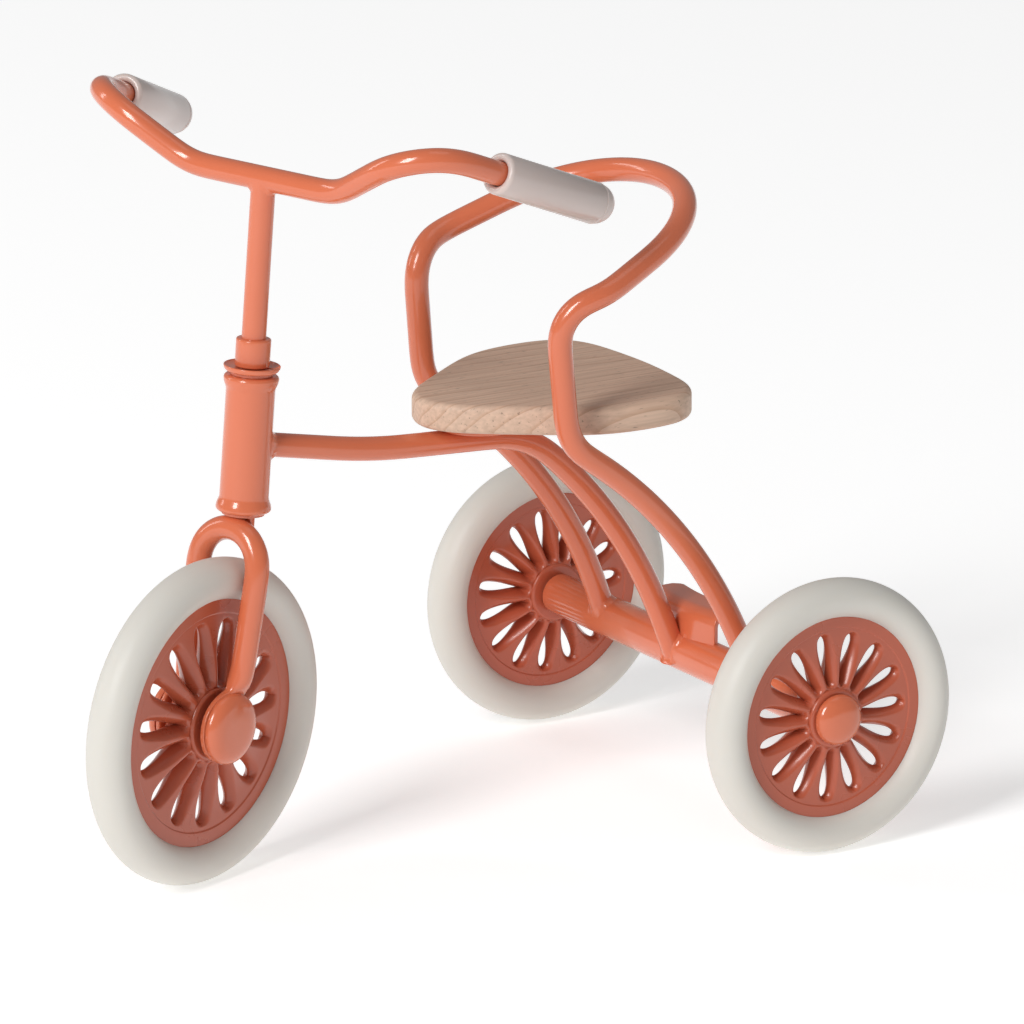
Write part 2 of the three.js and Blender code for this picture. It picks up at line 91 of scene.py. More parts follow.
back = np.array([
    math.cos(camera_turn) * math.cos(camera_lift),
    math.sin(camera_turn) * math.cos(camera_lift),
    math.sin(camera_lift),
])
across = unit(np.cross([0, 0, 1], back))
camera_data = bpy.data.cameras.new("camera")
camera_data.sensor_width = SENSOR
camera_data.lens = camera_lens
camera_data.clip_start = 0.05
camera_data.clip_end = 20
camera = bpy.data.objects.new("camera", camera_data)
turned_to_view = np.eye(4)
turned_to_view[:3, :3] = np.stack([across, np.cross(back, across), back], axis=1)
turned_to_view[:3, 3] = (camera_aim + back * camera_distance) * MM
camera.matrix_world = Matrix(turned_to_view.tolist())
bpy.context.scene.collection.objects.link(camera)
bpy.context.scene.camera = camera

world = bpy.data.worlds.new("white_room")
world.use_nodes = True
room_glow = world.node_tree.nodes["Background"]
room_glow.inputs["Color"].default_value = (1, 1, 1, 1)
room_glow.inputs["Strength"].default_value = 0.28
bpy.context.scene.world = world
bpy.context.scene.view_settings.view_transform = "Standard"


def soft_box(name, direction, distance, width, height, power):
    """A rectangular light that looks at the tricycle from a direction, with its lengths in millimetres
    and its power in watts."""
    data = bpy.data.lights.new(name, "AREA")
    data.shape = "RECTANGLE"
    data.size = width * MM
    data.size_y = height * MM
    data.energy = power
    towards = unit(np.array(direction, float))
    side = unit(np.cross([0, 0, 1], towards))
    pose = np.eye(4)
    pose[:3, :3] = np.stack([side, np.cross(towards, side), towards], axis=1)
    pose[:3, 3] = (camera_aim + towards * distance) * MM
    light = bpy.data.objects.new(name, data)
    light.matrix_world = Matrix(pose.tolist())
    bpy.context.scene.collection.objects.link(light)


soft_box("key_box", (0.93, 0.36, 0.68), 2000, 560, 1000, 25)
soft_box("left_strip", (0.7, -0.75, 0.5), 2000, 240, 1100, 4)
soft_box("top_box", (-0.2, 0.1, 1), 2000, 900, 900, 1.5)


def new_material(name):
    """A material, its node tree and its shader."""
    material = bpy.data.materials.new(name)
    material.use_nodes = True
    return material, material.node_tree, material.node_tree.nodes["Principled BSDF"]


floor_reach = 8000
floor_mesh = bpy.data.meshes.new("floor")
floor_mesh.from_pydata(
    [(x * floor_reach * MM, y * floor_reach * MM, 0) for x, y in ((-1, -1), (1, -1), (1, 1), (-1, 1))],
    [],
    [(0, 1, 2, 3)],
)
floor = bpy.data.objects.new("floor", floor_mesh)
bpy.context.scene.collection.objects.link(floor)
floor_paper, _, floor_shader = new_material("floor_paper")
floor_shader.inputs["Base Color"].default_value = (0.93, 0.93, 0.93, 1)
floor_shader.inputs["Roughness"].default_value = 0.9
floor_shader.inputs["Specular IOR Level"].default_value = 0.1
floor_shader.inputs["Emission Color"].default_value = (1, 1, 1, 1)
floor_shader.inputs["Emission Strength"].default_value = 0.4
floor_mesh.materials.append(floor_paper)


# ---- Main tube ----
# Front tube, seat rail and middle strut are one steel rod, bent cold and welded to the head tube and
# to the axle tube. Like the whole frame it is sprayed coral and baked, a gloss with a faint ripple.
ROD = 1.65
SIDES = 40


def lay_mesh(name, points, quads):
    """A closed skin from points in millimetres and four-cornered faces. Points in one place become one,
    a face with two corners in one place becomes a triangle, and all faces turn round if the volume, the
    sum over triangles of a . (b x c) / 6, is negative."""
    same_place = 1e-5
    keys = np.round(points / same_place).astype(np.int64)
    _, first, place = np.unique(keys, axis=0, return_index=True, return_inverse=True)
    points = points[first]
    quads = place.ravel()[quads]
    halves = np.concatenate([quads[:, [0, 1, 2]], quads[:, [0, 2, 3]]])
    a, b, c = (points[halves[:, k]] for k in range(3))
    if np.einsum("ij,ij->", a, np.cross(b, c)) < 0:
        quads = quads[:, ::-1]
    doubled = quads == np.roll(quads, -1, axis=1)
    fours = quads[~doubled.any(axis=1)]
    narrow = doubled.sum(axis=1) == 1
    threes = quads[narrow][~doubled[narrow]].reshape(-1, 3)
    starts = np.concatenate([np.arange(len(fours)) * 4, len(fours) * 4 + np.arange(len(threes)) * 3])
    corners = np.concatenate([fours.ravel(), threes.ravel()])
    mesh = bpy.data.meshes.new(name)
    mesh.vertices.add(len(points))
    mesh.vertices.foreach_set("co", (points * MM).astype(np.float32).ravel())
    mesh.loops.add(len(corners))
    mesh.loops.foreach_set("vertex_index", corners.astype(np.int32))
    mesh.polygons.add(len(starts))
    mesh.polygons.foreach_set("loop_start", starts.astype(np.int32))
    mesh.update(calc_edges=True)
    mesh.validate()
    mesh.shade_smooth()
    mesh.set_sharp_from_angle(angle=math.radians(40))
    piece = bpy.data.objects.new(name, mesh)
    bpy.context.scene.collection.objects.link(piece)
    return piece


def grid_faces(rows, columns, round_rows=False):
    """Corner numbers of the faces between neighbouring rows and columns; columns always close up."""
    upper = np.arange(rows if round_rows else rows - 1)
    here = upper[:, None] * columns + np.arange(columns)
    right = upper[:, None] * columns + (np.arange(columns) + 1) % columns
    down = (upper[:, None] + 1) % rows * columns
    return np.stack([here, right, down + (right % columns), down + (here % columns)], -1).reshape(-1, 4)


def skin(name, grid, round_rows=False):
    """A mesh over a grid of points, one ring of columns for each row."""
    rows, columns, _ = grid.shape
    return lay_mesh(name, grid.reshape(-1, 3), grid_faces(rows, columns, round_rows))


def bent_path(corners):
    """Points every 0.4 along straight runs joined by round bends. At a corner with bend radius r and
    half angle h the arc's centre lies r / sin h along the bisector, and the arc runs from r / tan h back
    along one run to the same place on the other: centre + cos a start + sin a (normal x start). Bends
    that overlap are cut where they pass closest, and a bell-shaped average eases every bend in and out."""
    spots = np.array([corner[:3] for corner in corners], float)
    arcs = []
    for before, here, after, corner in zip(spots, spots[1:], spots[2:], corners[1:]):
        radius = corner[3]
        inward = unit(before - here)
        outward = unit(after - here)
        half = math.acos(inward @ outward) / 2
        centre = here + unit(inward + outward) * radius / math.sin(half)
        start = here + inward * radius / math.tan(half) - centre
        normal = unit(np.cross(inward, start))
        angle = np.linspace(0, math.pi - 2 * half, 60)[:, None]
        arcs.append(centre + np.cos(angle) * start + np.sin(angle) * np.cross(normal, start))
    for k, run in enumerate(np.diff(spots, axis=0)[1:-1]):
        if (arcs[k + 1][0] - arcs[k][-1]) @ run < 0:
            apart = np.linalg.norm(arcs[k][:, None] - arcs[k + 1][None], axis=2)
            last, first = np.unravel_index(apart.argmin(), apart.shape)
            arcs[k] = arcs[k][: last + 1]
            arcs[k + 1] = arcs[k + 1][first:]
    line = np.concatenate([spots[:1], *arcs, spots[-1:]])
    walked = np.append(0, np.cumsum(np.linalg.norm(np.diff(line, axis=0), axis=1)))
    spacing = 0.4
    even = np.linspace(0, walked[-1], round(walked[-1] / spacing))
    line = np.stack([np.interp(even, walked, line[:, k]) for k in range(3)], axis=1)
    reach = 9
    bell_width = 3.2
    bell = np.exp(-0.5 * (np.arange(-reach, reach + 1) / bell_width) ** 2)
    lead = 2 * line[0] - line[reach:0:-1]
    tail = 2 * line[-1] - line[-2 : -reach - 2 : -1]
    longer = np.concatenate([lead, line, tail])
    return np.stack([np.convolve(longer[:, k], bell / bell.sum(), "valid") for k in range(3)], axis=1)


def swept(path, wide, thick, apart, roundness=1.0, sides=SIDES):
    """Rings of a section along a path: centre + wide cos' a n1 + thick sin' a n2, where n1 is the unit
    cross product of the path's direction with the fixed vector apart, n2 closes the frame, and cos' and
    sin' are cos and sin to the power of the roundness with their sign kept, so that 1 gives an oval and
    less gives a flat bar with round edges."""
    run = np.diff(path, axis=0)
    along = unit(np.concatenate([run[:1], unit(run[:-1]) + unit(run[1:]), run[-1:]]))
    first = unit(np.cross(along, apart))[:, None]
    second = np.cross(along[:, None], first)
    angle = np.linspace(0, 2 * math.pi, sides, endpoint=False)[None, :]
    wide, thick, roundness = (
        np.reshape(np.broadcast_to(value, len(path)), (-1, 1)) for value in (wide, thick, roundness)
    )
    cosine = wide * np.sign(np.cos(angle)) * np.abs(np.cos(angle)) ** roundness
    sine = thick * np.sign(np.sin(angle)) * np.abs(np.sin(angle)) ** roundness
    return path[:, None] + cosine[..., None] * first + sine[..., None] * second


def bent_rod(name, path, apart, radius=ROD):
    """A round rod along a path, closed at both ends by rings that shrink to the middle."""
    rings = swept(path, radius, radius, np.array(apart, float))
    middle = rings.mean(axis=1, keepdims=True)
    ends = [middle[:1] + (rings[:1] - middle[:1]) * k for k in (0, 0.9)]
    tails = [middle[-1:] + (rings[-1:] - middle[-1:]) * k for k in (0.9, 0)]
    return skin(name, np.concatenate([*ends, rings, *tails]))


def socket(group, name, in_out, kind, value=None):
    """Adds a socket to the outside of a node group, with its first value."""
    made = group.interface.new_socket(name=name, in_out=in_out, socket_type="NodeSocket" + kind)
    if value is not None:
        made.default_value = value


def add_node(tree, kind, inputs=None, **settings):
    """A node with its settings, and its sockets given a value or joined to another node's output."""
    node = tree.nodes.new("ShaderNode" + kind)
    for name, value in settings.items():
        setattr(node, name, value)
    for name, value in (inputs or {}).items():
        if isinstance(value, bpy.types.NodeSocket):
            tree.links.new(value, node.inputs[name])
        else:
            node.inputs[name].default_value = value
    return node


def noise(tree, place, scale, detail):
    """A cloudy pattern between 0 and 1. A greater scale makes finer clouds."""
    return add_node(tree, "TexNoise", {"Vector": place, "Scale": scale, "Detail": detail}).outputs["Fac"]


def maths(tree, operation, first, second=None):
    """The result of one sum on one value or on two."""
    values = {0: first} if second is None else {0: first, 1: second}
    return add_node(tree, "Math", values, operation=operation).outputs[0]


def spread(tree, value, old, new):
    """A value carried in a straight line from an old range to a new one, and kept inside it."""
    ends = {"From Min": old[0], "From Max": old[1], "To Min": new[0], "To Max": new[1]}
    return add_node(tree, "MapRange", {"Value": value, **ends}).outputs["Result"]


def add_relief(tree, shader, height, bump, strength=1.0):
    """Gives a shader its relief, where a height of one stands for the bump in millimetres."""
    relief = add_node(tree, "Bump", {"Height": height, "Distance": bump * MM, "Strength": strength})
    tree.links.new(relief.outputs["Normal"], shader.inputs["Normal"])


def make_sprayed_skin():
    """Node group of a sprayed or moulded surface: a slow drift of tone, a fine ripple like the peel of
    an orange, and rare dust nibs. Ripple and nibs add up to one height, in shares of the bump."""
    group = bpy.data.node_groups.new("sprayed_skin", "ShaderNodeTree")
    socket(group, "Colour", "INPUT", "Color", (0.8, 0.2, 0.1, 1))
    socket(group, "Deep Colour", "INPUT", "Color", (0.6, 0.1, 0.05, 1))
    socket(group, "Drift", "INPUT", "Float", 0.3)
    socket(group, "Ripple Scale", "INPUT", "Float", 900.0)
    socket(group, "Gloss Low", "INPUT", "Float", 0.25)
    socket(group, "Gloss High", "INPUT", "Float", 0.35)
    socket(group, "Nibs", "INPUT", "Float", 0.3)
    socket(group, "Colour", "OUTPUT", "Color")
    socket(group, "Roughness", "OUTPUT", "Float")
    socket(group, "Height", "OUTPUT", "Float")
    given = group.nodes.new("NodeGroupInput").outputs
    out = group.nodes.new("NodeGroupOutput").inputs
    place = add_node(group, "TexCoord").outputs["Object"]
    tone = maths(group, "MULTIPLY", noise(group, place, 55.0, 3.0), given["Drift"])
    tones = {0: tone, 6: given["Colour"], 7: given["Deep Colour"]}
    colour = add_node(group, "Mix", tones, data_type="RGBA")
    smudge = noise(group, place, 140.0, 4.0)
    gloss = spread(group, smudge, (0.1, 0.9), (given["Gloss Low"], given["Gloss High"]))
    peel = noise(group, place, given["Ripple Scale"], 1.5)
    speck = add_node(group, "TexVoronoi", {"Vector": place, "Scale": 260.0})
    nib = spread(group, speck.outputs["Distance"], (0.0, 0.07), (1.0, 0.0))
    height = maths(group, "ADD", peel, maths(group, "MULTIPLY", nib, given["Nibs"]))
    group.links.new(colour.outputs[2], out["Colour"])
    group.links.new(gloss, out["Roughness"])
    group.links.new(height, out["Height"])
    return group


sprayed_skin = make_sprayed_skin()


def sprayed_material(name, values, bump, **shader_values):
    """A finish on the sprayed skin; values fill the group's sockets, and bump is the ripple's height in
    millimetres."""
    material, tree, shader = new_material(name)
    group = tree.nodes.new("ShaderNodeGroup")
    group.node_tree = sprayed_skin
    for socket_name, value in values.items():
        group.inputs[socket_name].default_value = value
    tree.links.new(group.outputs["Colour"], shader.inputs["Base Color"])
    tree.links.new(group.outputs["Roughness"], shader.inputs["Roughness"])
    add_relief(tree, shader, group.outputs["Height"], bump)
    for socket_name, value in shader_values.items():
        shader.inputs[socket_name.replace("_", " ")].default_value = value
    return material


coral_paint = sprayed_material(
    "coral_paint",
    {
        "Colour": (0.70, 0.172, 0.076, 1),
        "Deep Colour": (0.61, 0.132, 0.054, 1),
        "Drift": 0.5,
        "Ripple Scale": 380.0,
        "Gloss Low": 0.14,
        "Gloss High": 0.28,
        "Nibs": 0.0,
    },
    0.003,
    Coat_Weight=0.5,
    Coat_Roughness=0.05,
)


def painted(piece, body, *stands_for, material=coral_paint, slot="coral_paint"):
    """Gives a piece its finish, its body and the nodes that it stands for."""
    piece.data.materials.append(material)
    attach(piece, body)
    if stands_for:
        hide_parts(*stands_for)
    return piece


# Each corner is ahead of the rear axle, to its left and up, with the radius of the bend there.
main_corners = [
    (67.6, 0, 58.6),
    (50.3, 0, 55.1, 80),
    (25.8, 0, 53.7, 15.6),
    (10.1, 0, 40.2, 70),
    (1.2, 0, axle_height - 1),
]
main_path = bent_path(main_corners) + ground
painted(bent_rod("main_tube_rod", main_path, (0, 1, 0)), "frame", "main_tube")


# ---- Arm and back hoop ----
# Both outer struts, the arm posts and the back are one rod, with the same bends left and right. Its
# feet are welded to the axle tube and it stands clear of the board.
strut_half_spread = 19
hoop_half_width = 18.3
hoop_left = [
    (0.2, strut_half_spread, axle_height - 1),
    (9.7, hoop_half_width - 0.5, 42.5, 65),
    (30.6, hoop_half_width, 57.2, 6.9),
    (32.3, hoop_half_width - 0.3, 76.2, 5.8),
    (26.6, hoop_half_width + 2.2, 77.5, 8),
    (4.2, hoop_half_width - 3, 86.7, 18.8),
]
hoop_right = [(corner[0], -corner[1], *corner[2:]) for corner in hoop_left[::-1]]
hoop_path = bent_path(hoop_left + hoop_right) + ground
painted(bent_rod("arm_hoop_rod", hoop_path, (0.5, 0.5, -0.7)), "frame", "arm_hoop")


# ---- Rear axle tube and the welds of the frame ----
# A drawn tube that the rear pin runs through. A small bead of weld, painted over, runs round each rod
# where it meets the tube.
AXLE_TUBE = 2.85
axle_tube_half = 32


def turned(name, profile, centre, axis, sides=96):
    """A turned skin: the profile's points [radius, height] swept round the axis,
    centre + height axis + radius (cos a p + sin a q)."""
    profile = np.asarray(profile, float)
    axis = unit(np.asarray(axis, float))
    p = unit(np.cross(axis, [0.3, 0.1, 1] if abs(axis[2]) < 0.9 else [1, 0.2, 0]))
    q = np.cross(axis, p)
    angle = np.linspace(0, 2 * math.pi, sides, endpoint=False)[None, :, None]
    spoke = np.cos(angle) * p + np.sin(angle) * q
    grid = centre + profile[:, 1, None, None] * axis + profile[:, 0, None, None] * spoke
    return skin(name, grid)


def arc(centre, radius, start, stop, count=8):
    """Points [radius, height] of an arc in a profile, from one angle to another in degrees."""
    angle = np.radians(np.linspace(start, stop, count))
    return np.stack([centre[0] + radius * np.cos(angle), centre[1] + radius * np.sin(angle)], axis=1)


round_edge = 0.35
axle_profile = np.concatenate([
    [[0, -axle_tube_half]],
    arc((AXLE_TUBE - round_edge, -axle_tube_half + round_edge), round_edge, -90, 0),
    arc((AXLE_TUBE - round_edge, axle_tube_half - round_edge), round_edge, 0, 90),
    [[0, axle_tube_half]],
])
painted(turned("axle_tube", axle_profile, axle_middle, (0, 1, 0)), "frame", "rear_axle_tube")


def weld_bead(name, point, towards, rod, host_point, host_axis, host, size):
    """A ring of weld where a rod runs into a round host. Round the rod's angle f, the line
    point + r (cos f e1 + sin f e2) + t towards meets the host where its distance from the host's axis is
    the host's radius. The bead spans from that line, a size and a wobble up the rod, to the line a size
    wider. A line that would pass beside the host is moved in, to 0.985 of the host's radius."""
    towards = unit(np.asarray(towards, float))
    host_axis = unit(np.asarray(host_axis, float))
    first = unit(np.cross(towards, host_axis if abs(towards @ host_axis) < 0.9 else [0, 0, 1]))
    second = np.cross(towards, first)
    turn = np.linspace(0, 2 * math.pi, 96, endpoint=False)[:, None]

    def meet(radius, reach):
        limit = 0.985 * reach
        beside = np.clip(radius * np.cos(turn), -limit, limit)
        start = point + beside * first + radius * np.sin(turn) * second
        a = start - host_point
        a = a - (a @ host_axis)[:, None] * host_axis
        b = towards - (towards @ host_axis) * host_axis
        ab = a @ b
        room = np.maximum(ab**2 - (b @ b) * ((a * a).sum(axis=1) - reach**2), 0)
        return start + ((-ab - np.sqrt(room)) / (b @ b))[:, None] * towards

    wobble = 0.12 * np.sin(9 * turn + 1) + 0.07 * np.sin(17 * turn)
    root = meet(rod, host)
    high = root - size * (1 + wobble) * towards
    low = meet(rod + size, host)
    fullness = 0.62
    control = root + fullness * ((high + low) / 2 - root)
    share = np.linspace(0, 1, 9)[None, :, None]
    curve = (1 - share) ** 2 * high[:, None] + 2 * share * (1 - share) * control[:, None]
    curve = curve + share**2 * low[:, None]
    sunk = meet(rod - 0.3, host - 0.4)[:, None]
    return skin(name, np.concatenate([curve, sunk], axis=1), round_rows=True)


WELD_LEAD = 6
bead_size = 0.62


def weld_foot(name, foot, above, host_point, host_axis, host, size):
    """The weld where a rod of the frame ends, from its last two corners. It is looked for from a point a
    lead up the rod."""
    run = np.array(foot[:3]) - above[:3]
    start = ground + foot[:3] - WELD_LEAD * unit(run)
    painted(weld_bead(name, start, run, ROD, host_point, host_axis, host, size), "frame")


for name, foot, above in (
    ("left_strut_weld", hoop_left[0], hoop_left[1]),
    ("right_strut_weld", hoop_right[-1], hoop_right[-2]),
    ("middle_strut_weld", main_corners[4], main_corners[3]),
):
    weld_foot(name, foot, above, axle_middle, (0, 1, 0), AXLE_TUBE, bead_size)


# ---- Rear step ----
# A small tread of pressed sheet behind the middle strut. Its front is folded down on the axle tube
# and bowed a little, and its corners are round.
STEP_SHEET = 0.8
step_top = axle_height + 6.3
step_half = 8


def pressed_step():
    """A folded sheet: across it the profile runs forward along the tread, round the fold and down the
    skirt; along it the profile moves on y, and is pulled back by the bow, a share of y squared. In the
    last fifth of each side the back of the tread is drawn forward, by the square of the way into it."""
    fold_radius = 1.2
    fold_x = -0.6
    seam = 0.1
    tread_back = -3.7
    tread_front = fold_x - seam
    fold = arc((fold_x, step_top - fold_radius), fold_radius, 90, 0, 9)
    tread = np.stack([np.linspace(tread_back, tread_front, 7), np.full(7, step_top)], axis=1)
    skirt_heights = np.linspace(step_top - fold_radius - seam, axle_height + 1.8, 7)
    skirt = np.stack([np.full(7, fold_x + fold_radius), skirt_heights], axis=1)
    profile = np.concatenate([tread, fold, skirt])
    width = np.linspace(-1, 1, 41)
    bow = 0.9 * width**2
    corner = 1.6 * (np.maximum(np.abs(width) - 0.8, 0) / 0.2) ** 2
    tuck = np.clip((tread_front - profile[:, 0]) / (tread_front - tread_back), 0, 1)
    x = profile[:, :1] - bow + corner * tuck[:, None]
    y = np.broadcast_to(width * step_half, x.shape)
    z = np.broadcast_to(profile[:, 1:], x.shape)
    points = np.stack([x, y, z], axis=-1) + ground
    rows, columns = x.shape
    corner_number = np.arange(rows * columns).reshape(rows, columns)
    faces = np.stack(
        [corner_number[:-1, :-1], corner_number[1:, :-1], corner_number[1:, 1:], corner_number[:-1, 1:]], -1
    )
    mesh = bpy.data.meshes.new("step_plate")
    mesh.from_pydata((points.reshape(-1, 3) * MM).tolist(), [], faces.reshape(-1, 4).tolist())
    mesh.shade_smooth()
    piece = bpy.data.objects.new("step_plate", mesh)
    bpy.context.scene.collection.objects.link(piece)
    wall = piece.modifiers.new("sheet", "SOLIDIFY")
    wall.thickness = STEP_SHEET * MM
    wall.offset = 1
    soft = piece.modifiers.new("soft_edges", "BEVEL")
    soft.width = 0.2 * MM
    soft.segments = 3
    soft.limit_method = "ANGLE"
    return piece


painted(pressed_step(), "frame", "rear_step")


# ---- Head tube ----
# A turned tube with a rolled bead at each end, on the raked axis. The front rod is welded to its back.
HEAD = 3.3
HEAD_BEAD = 3.72
HEAD_BORE = 2.2
head_bottom = 28.05
head_top = 46.65
bead_height = 2.1


def smooth(share):
    """Three times the square less twice the cube of a share that is kept between 0 and 1."""
    share = np.clip(share, 0, 1)
    return share * share * (3 - 2 * share)


def beaded_profile():
    """The closed section of the tube's wall: the bore, a round bead at the bottom that runs smoothly
    into the wall, and the same bead at the top."""
    edge = 0.5
    slope = bead_height - 0.7
    low = arc((HEAD_BEAD - edge, head_bottom + edge), edge, -90, 20)
    high = arc((HEAD_BEAD - edge, head_top - edge), edge, -20, 90)
    share = np.linspace(0, 1, 7)[:, None]
    blend = smooth(share)
    lower = np.hstack([low[-1, 0] + (HEAD - low[-1, 0]) * blend, low[-1, 1] + slope * share])
    upper = np.hstack([HEAD + (high[0, 0] - HEAD) * blend, head_top - bead_height + slope * share])
    return np.concatenate([
        [[HEAD_BORE, head_bottom + 1], [HEAD_BORE, head_bottom]],
        low,
        lower[1:],
        upper[:-1],
        high,
        [[HEAD_BORE, head_top], [HEAD_BORE, head_top - 1], [HEAD_BORE, head_bottom + 1]],
    ])


painted(turned("head_tube_shell", beaded_profile(), column_base, column_up), "frame", "head_tube")
weld_foot("head_weld", main_corners[0], main_corners[1], column_base, column_up, HEAD, 0.8)


# ---- Seat plate, screws and board ----
# A small plate with round ends is welded on the rail, and two screws hold the beech board on it. The
# board is flat, cut like a shield with its nose to the front, and its edges are rounded over and oiled.
seat_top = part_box("seat_board")[1][2] / MM
board_thickness = 4
plate_thickness = 0.85


def rounded_outline(corners, softness):
    """Points and outward normals round an outline. Each corner [x, y, radius] gets its arc, the line is
    walked in even steps, and a bell-shaped average of that softness eases straights into arcs."""
    corners = np.array(corners, float)
    arcs = []
    for before, here, after in zip(np.roll(corners, 1, 0), corners, np.roll(corners, -1, 0)):
        inward = unit(before[:2] - here[:2])
        outward = unit(after[:2] - here[:2])
        half = math.acos(inward @ outward) / 2
        centre = here[:2] + unit(inward + outward) * here[2] / math.sin(half)
        start = here[:2] + inward * here[2] / math.tan(half) - centre
        end = here[:2] + outward * here[2] / math.tan(half) - centre
        share = np.linspace(0, 1, 30)[:, None]
        arcs.append(centre + here[2] * unit((1 - share) * start + share * end))
    line = np.concatenate([*arcs, arcs[0][:1]])
    walked = np.append(0, np.cumsum(np.linalg.norm(np.diff(line, axis=0), axis=1)))
    count = 240
    even = np.linspace(0, walked[-1], count, endpoint=False)
    line = np.stack([np.interp(even, walked, line[:, k]) for k in range(2)], axis=1)
    around = np.arange(count)
    bell = np.exp(-0.5 * (np.minimum(around, count - around) * even[1] / softness) ** 2)
    spread = np.fft.fft(bell / bell.sum())[:, None]
    line = np.real(np.fft.ifft(np.fft.fft(line, axis=0) * spread, axis=0))
    along = unit(np.roll(line, -1, 0) - np.roll(line, 1, 0))
    normal = np.stack([along[:, 1], -along[:, 0]], axis=1)
    return line, normal * np.sign(((line - line.mean(axis=0)) * normal).sum())


def flat_board(name, outline, low, high, edge):
    """A board with a rounded edge: rows run from the middle of the bottom outwards, round the lower and
    the upper edge arcs, set in by the edge radius times 1 - sin a, and back to the middle of the top."""
    line, normal = outline
    angle = np.radians(np.linspace(0, 90, 8))
    inset = edge * (1 - np.sin(angle))
    lift = edge * (1 - np.cos(angle))
    insets = np.concatenate([inset, inset[::-1]])[:, None, None]
    heights = np.concatenate([low + lift, high - lift[::-1]])[:, None, None]
    rim = line - insets * normal
    rows = np.concatenate([rim, np.broadcast_to(heights, (*rim.shape[:2], 1))], axis=2)
    middle = np.append(line.mean(axis=0), 0)
    shares = np.array([0, 0.3, 0.6, 0.85, 0.97])

    def towards_middle(row, shares):
        centre = middle + [0, 0, row[0, 2]]
        return centre + (row - centre) * shares[:, None, None]

    grid = np.concatenate([towards_middle(rows[0], shares), rows, towards_middle(rows[-1], shares[::-1])])
    return skin(name, grid + ground)


seat_corners = [
    (48.2, 0, 7.2),
    (23.8, 17.8, 16),
    (7.4, 17.7, 6.5),
    (5.9, 0, 40),
    (7.4, -17.7, 6.5),
    (23.8, -17.8, 16),
]
seat_outline = rounded_outline(seat_corners, softness=3.0)
seat_foot = seat_top - board_thickness
board = flat_board("beech_board", seat_outline, seat_foot, seat_top, edge=0.95)


def make_beech():
    """Beech, sawn along x: growth rings are bands across a slanting coordinate, wandered by noise, the
    fibre is noise drawn out along the grain, and short dark ray flecks lie in it."""
    material, tree, shader = new_material("beech")
    place = add_node(tree, "TexCoord").outputs["Object"]
    slant = (math.radians(34), 0, math.radians(3))
    lean = add_node(tree, "Mapping", {"Vector": place, "Rotation": slant}).outputs["Vector"]
    wander = add_node(tree, "Mapping", {"Vector": place, "Scale": (14.0, 70.0, 70.0)}).outputs["Vector"]
    wander_reach = 0.0065
    ring_pitch = 0.0019
    shift = maths(tree, "MULTIPLY", noise(tree, wander, 1.0, 2.0), wander_reach)
    apart = add_node(tree, "SeparateXYZ", {"Vector": lean})
    across_rings = maths(tree, "ADD", apart.outputs["Y"], shift)
    ring = maths(tree, "FRACT", maths(tree, "MULTIPLY", across_rings, 1 / ring_pitch))
    late = add_node(tree, "ValToRGB", {"Fac": ring})
    late.color_ramp.elements[0].position = 0.0
    late.color_ramp.elements[0].color = (0.66, 0.465, 0.345, 1)
    late.color_ramp.elements[1].position = 0.78
    late.color_ramp.elements[1].color = (0.645, 0.445, 0.325, 1)
    dark = late.color_ramp.elements.new(0.96)
    dark.color = (0.55, 0.35, 0.24, 1)
    fibre_place = add_node(tree, "Mapping", {"Vector": place, "Scale": (60.0, 1900.0, 1900.0)})
    fibre = noise(tree, fibre_place.outputs["Vector"], 1.0, 4.0)
    fibre_tone = spread(tree, fibre, (0.3, 0.7), (0.86, 1.08))
    fleck_place = add_node(tree, "Mapping", {"Vector": place, "Scale": (700.0, 4200.0, 2600.0)})
    fleck = noise(tree, fleck_place.outputs["Vector"], 1.0, 1.0)
    fleck_tone = spread(tree, fleck, (0.66, 0.78), (1.0, 0.55))
    tone = maths(tree, "MULTIPLY", fibre_tone, fleck_tone)
    wood = add_node(tree, "VectorMath", {0: late.outputs["Color"]}, operation="SCALE")
    tree.links.new(tone, wood.inputs["Scale"])
    tree.links.new(wood.outputs["Vector"], shader.inputs["Base Color"])
    sheen = spread(tree, fibre, (0.3, 0.7), (0.62, 0.48))
    tree.links.new(sheen, shader.inputs["Roughness"])
    add_relief(tree, shader, tone, 0.008, 0.5)
    return material


beech = make_beech()
painted(board, "frame", "seat_board", material=beech, slot="beech")

plate_high = seat_foot - 0.05
plate_low = plate_high - plate_thickness
plate_corners = [(39.3, 6.3, 6.2), (20.7, 6.3, 6.2), (20.7, -6.3, 6.2), (39.3, -6.3, 6.2)]
plate_outline = rounded_outline(plate_corners, softness=0.3)
plate = flat_board("seat_plate_sheet", plate_outline, plate_low, plate_high, edge=0.25)
painted(plate, "frame", "seat_plate")

steel = sprayed_material(
    "plain_steel",
    {
        "Colour": (0.52, 0.52, 0.53, 1),
        "Deep Colour": (0.36, 0.36, 0.37, 1),
        "Drift": 0.6,
        "Ripple Scale": 2400.0,
        "Gloss Low": 0.28,
        "Gloss High": 0.45,
        "Nibs": 0.0,
    },
    0.004,
    Metallic=1.0,
)


